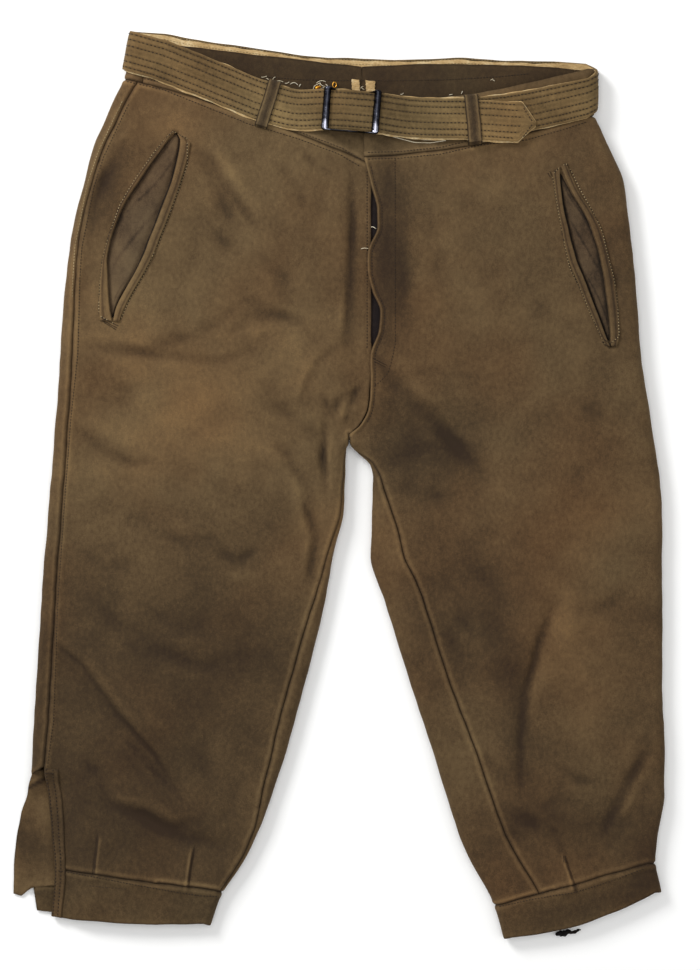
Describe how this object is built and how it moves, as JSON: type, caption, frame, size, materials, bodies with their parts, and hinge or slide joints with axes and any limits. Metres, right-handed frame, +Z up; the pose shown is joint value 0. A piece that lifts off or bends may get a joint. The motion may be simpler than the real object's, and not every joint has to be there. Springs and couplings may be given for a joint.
{
  "type": "knee breeches",
  "caption": "Suede knee breeches laid flat, front up, with slanted pockets, knee cuffs, an open side vent and a stitched leather belt with a flat metal buckle through the loops.",
  "frame": {"origin": "bottom centre of the bounding box, on the surface that the garment lies on", "axes": "+X to the wearer's left, +Y from the hems to the waist, +Z up out of the front"},
  "size_m": [0.6066, 0.8426, 0.0299],
  "materials": {
    "suede": "worn olive-brown suede",
    "dark_leather": "dark brown suede in shadow",
    "cream_leather": "raw cream leather",
    "chrome": "polished, lightly scratched"
  },
  "bodies": {
    "root": {"front_right": "suede", "front_left": "suede", "back_right": "suede", "back_left": "suede", "waistband_front_right": "suede", "waistband_front_left": "suede", "waistband_back_right": "suede", "waistband_back_left": "suede", "cuff_right": "suede", "cuff_left": "suede", "pocket_welt_inner_right": "suede", "pocket_welt_inner_left": "suede", "pocket_welt_outer_right": "suede", "pocket_welt_outer_left": "suede", "pocket_facing_right": "dark_leather", "pocket_facing_left": "dark_leather", "fly_placket": "dark_leather", "vent_placket_right": "suede", "vent_underlap_right": "suede", "belt": "suede", "belt_backing": "cream_leather", "belt_loop_right": "dark_leather", "belt_loop_left": "dark_leather", "buckle_frame": "chrome", "buckle_bar": "chrome", "back_tab_right": "cream_leather", "back_tab_left": "cream_leather", "knee_knot_left": "dark_leather"}
  },
  "joints": []
}
